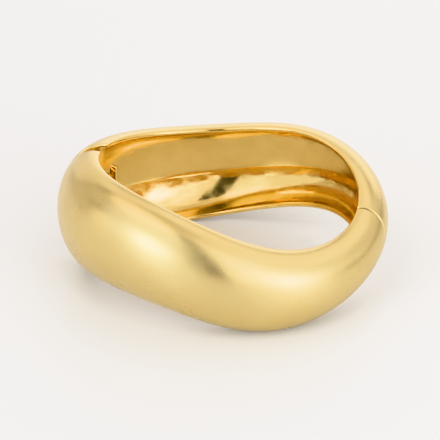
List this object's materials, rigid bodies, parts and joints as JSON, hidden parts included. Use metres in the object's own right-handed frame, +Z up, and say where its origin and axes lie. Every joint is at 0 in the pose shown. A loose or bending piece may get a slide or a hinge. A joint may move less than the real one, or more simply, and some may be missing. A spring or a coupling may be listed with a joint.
{
  "type": "hinged bangle",
  "caption": "Wavy, puffed oval bangle of gold-toned metal, open on the inside, whose half shells meet at a plain seam and swing apart on a spring hinge to let a wrist in.",
  "frame": {"origin": "centre of the bounding box in plan, on the surface that the bangle lies on", "axes": "+X from the hinge to the seam, +Y towards the back half, +Z up through the wrist opening"},
  "size_m": [0.077, 0.0684, 0.0304],
  "materials": {
    "satin_gold": "gold-plated brass: fine satin outside, polished with soft casting ripples on the inside",
    "polished_gold": "polished gold-plated brass"
  },
  "bodies": {
    "back": {"back_half": "satin_gold", "hinge_pin": "polished_gold", "spring_box": "polished_gold"},
    "front": {"front_half": "satin_gold"}
  },
  "joints": [
    {"name": "hinge", "type": "hinge", "parent": "back", "child": "front", "pos_m": [-0.03601, -0.00073, 0.0155], "axis": [0, 0, -1], "range_deg": [0, 40], "stiffness_Nm_per_rad": 0.25, "springref_deg": -22.92}
  ]
}
